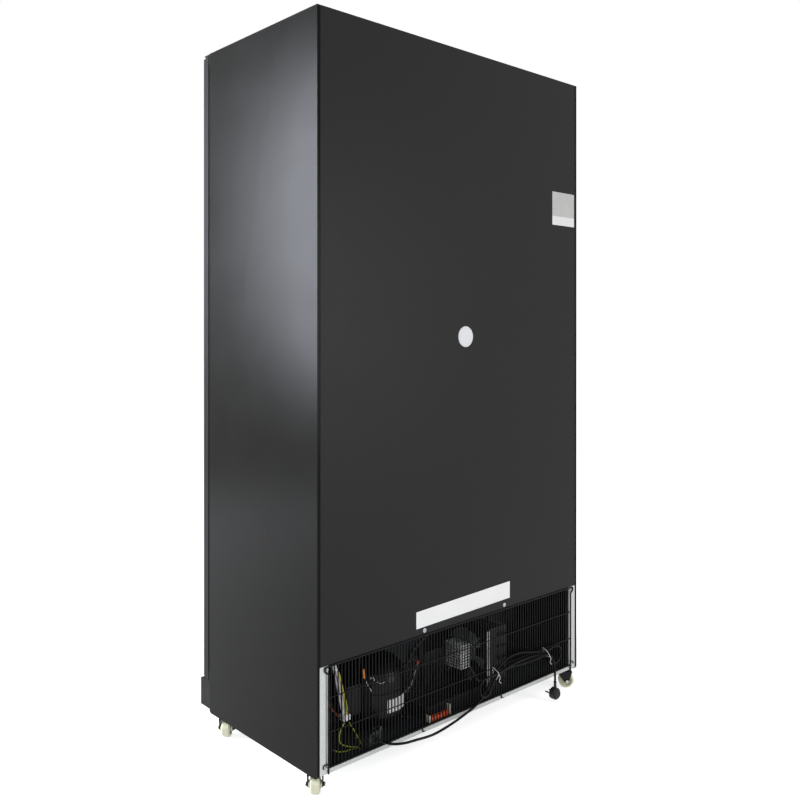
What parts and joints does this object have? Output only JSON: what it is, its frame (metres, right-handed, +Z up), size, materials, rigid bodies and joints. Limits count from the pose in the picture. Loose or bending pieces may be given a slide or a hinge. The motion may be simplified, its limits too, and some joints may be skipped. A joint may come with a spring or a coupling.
{
  "type": "glass door refrigerator",
  "caption": "Upright display refrigerator with hinged glass doors, shelves, a rear machine room behind a wire guard, swivel castors and a bundled mains cord.",
  "frame": {"origin": "on the floor under the middle of the outline", "axes": "+Z up, the doors face -Y, +X on the right of a person in front of the doors"},
  "size_m": [1.08, 0.647, 2.01],
  "materials": {
    "charcoal_panel": "satin",
    "black_steel": "satin",
    "galvanised": "satin",
    "white_plastic": "satin",
    "white_metal": "gloss",
    "foam": "matte",
    "black_wire": "satin",
    "door_aluminium": "satin",
    "pane": "polished",
    "gasket_rubber": "matte",
    "zinc_plate": "satin",
    "castor_black": "satin",
    "cream_nylon": "satin",
    "compressor_black": "satin",
    "black_rubber": "matte",
    "black_plastic": "matte",
    "fins": "matte",
    "copper_pipe": "satin",
    "mixed_wire": "matte",
    "lamp": "gloss",
    "chrome_rail": "satin",
    "shelf_white": "satin",
    "cord_black": "satin",
    "tie_white": "gloss"
  },
  "bodies": {
    "cabinet": {"side_panel_right": "charcoal_panel", "side_panel_left": "charcoal_panel", "top_panel": "charcoal_panel", "back_panel": "charcoal_panel", "foam_port_cap": "white_plastic", "inner_liner": "white_metal", "insulation_foam": "foam", "machine_bulkhead": "black_steel", "front_frame": "black_steel", "base_pan": "galvanised", "rear_corner_posts": "galvanised", "rear_grille": "black_wire", "rear_screws": "white_metal", "plinth_grille": "black_steel", "door_hinges": "zinc_plate", "castor_plates": "castor_black", "compressor": "compressor_black", "compressor_feet": "black_rubber", "compressor_terminal_cover": "black_plastic", "condenser_coil": "fins", "fan_shroud": "black_steel", "condenser_fan_motor": "black_steel", "drip_tray": "black_plastic", "junction_box": "black_plastic", "refrigerant_pipes": "copper_pipe", "wiring_harness": "mixed_wire", "evaporator_coil": "fins", "evaporator_cover": "white_metal", "evaporator_fan_motors": "black_steel", "led_lamps": "lamp", "shelf_rails": "chrome_rail", "shelf_clips": "chrome_rail", "shelves_right": "shelf_white", "shelves_left": "shelf_white", "cord_gland": "black_plastic", "power_cord": "cord_black", "cord_hank": "cord_black", "cord_tail": "cord_black", "plug": "black_rubber", "twist_ties": "tie_white"},
    "door_right": {"door_frame_right": "door_aluminium", "door_glass_right": "pane", "door_gasket_right": "gasket_rubber"},
    "door_left": {"door_frame_left": "door_aluminium", "door_glass_left": "pane", "door_gasket_left": "gasket_rubber"},
    "condenser_fan": {"condenser_fan": "black_plastic"},
    "evaporator_fan_right": {"evaporator_fan_right": "black_plastic"},
    "evaporator_fan_left": {"evaporator_fan_left": "black_plastic"},
    "thermostat_knob": {"thermostat_knob": "black_plastic"},
    "light_switch": {"light_switch": "black_plastic"},
    "castor_front_left": {"castor_fork_front_left": "castor_black"},
    "wheel_front_left": {"castor_wheel_front_left": "cream_nylon"},
    "castor_front_right": {"castor_fork_front_right": "castor_black"},
    "wheel_front_right": {"castor_wheel_front_right": "cream_nylon"},
    "castor_rear_left": {"castor_fork_rear_left": "castor_black"},
    "wheel_rear_left": {"castor_wheel_rear_left": "cream_nylon"},
    "castor_rear_right": {"castor_fork_rear_right": "castor_black"},
    "wheel_rear_right": {"castor_wheel_rear_right": "cream_nylon"}
  },
  "joints": [
    {"name": "door_right_hinge", "type": "hinge", "parent": "cabinet", "child": "door_right", "pos_m": [0.528, -0.2625, 1], "axis": [0, 0, 1], "range_deg": [0, 110], "stiffness_Nm_per_rad": 1.2, "springref_deg": -91.67},
    {"name": "door_left_hinge", "type": "hinge", "parent": "cabinet", "child": "door_left", "pos_m": [-0.528, -0.2625, 1], "axis": [0, 0, -1], "range_deg": [0, 110], "stiffness_Nm_per_rad": 1.2, "springref_deg": -91.67},
    {"name": "condenser_fan_spin", "type": "hinge", "parent": "cabinet", "child": "condenser_fan", "pos_m": [-0.15, 0.149, 0.17], "axis": [1, 0, 0], "continuous": true},
    {"name": "evaporator_fan_right_spin", "type": "hinge", "parent": "cabinet", "child": "evaporator_fan_right", "pos_m": [0.22, -0.01, 1.836], "axis": [0, 0, 1], "continuous": true},
    {"name": "evaporator_fan_left_spin", "type": "hinge", "parent": "cabinet", "child": "evaporator_fan_left", "pos_m": [-0.22, -0.01, 1.836], "axis": [0, 0, 1], "continuous": true},
    {"name": "thermostat_turn", "type": "hinge", "parent": "cabinet", "child": "thermostat_knob", "pos_m": [0.06, -0.105, 1.88], "axis": [0, -1, 0], "range_deg": [0, 270]},
    {"name": "light_switch_rock", "type": "hinge", "parent": "cabinet", "child": "light_switch", "pos_m": [-0.06, -0.1045, 1.88], "axis": [1, 0, 0], "range_deg": [-8, 8]},
    {"name": "castor_front_left_swivel", "type": "hinge", "parent": "cabinet", "child": "castor_front_left", "pos_m": [-0.495, -0.205, 0.056], "axis": [0, 0, 1], "continuous": true},
    {"name": "wheel_front_left_roll", "type": "hinge", "parent": "castor_front_left", "child": "wheel_front_left", "pos_m": [-0.50399, -0.18275, 0.025], "axis": [-0.9272, -0.3746, 0], "continuous": true},
    {"name": "castor_front_right_swivel", "type": "hinge", "parent": "cabinet", "child": "castor_front_right", "pos_m": [0.495, -0.205, 0.056], "axis": [0, 0, 1], "continuous": true},
    {"name": "wheel_front_right_roll", "type": "hinge", "parent": "castor_front_right", "child": "wheel_front_right", "pos_m": [0.51226, -0.18833, 0.025], "axis": [-0.6947, 0.7193, 0], "continuous": true},
    {"name": "castor_rear_left_swivel", "type": "hinge", "parent": "cabinet", "child": "castor_rear_left", "pos_m": [-0.495, 0.248, 0.056], "axis": [0, 0, 1], "continuous": true},
    {"name": "wheel_rear_left_roll", "type": "hinge", "parent": "castor_rear_left", "child": "wheel_rear_left", "pos_m": [-0.51275, 0.26415, 0.025], "axis": [-0.673, -0.7396, 0], "continuous": true},
    {"name": "castor_rear_right_swivel", "type": "hinge", "parent": "cabinet", "child": "castor_rear_right", "pos_m": [0.495, 0.224, 0.056], "axis": [0, 0, 1], "continuous": true},
    {"name": "wheel_rear_right_roll", "type": "hinge", "parent": "castor_rear_right", "child": "wheel_rear_right", "pos_m": [0.51115, 0.24175, 0.025], "axis": [-0.7396, 0.673, 0], "continuous": true}
  ]
}
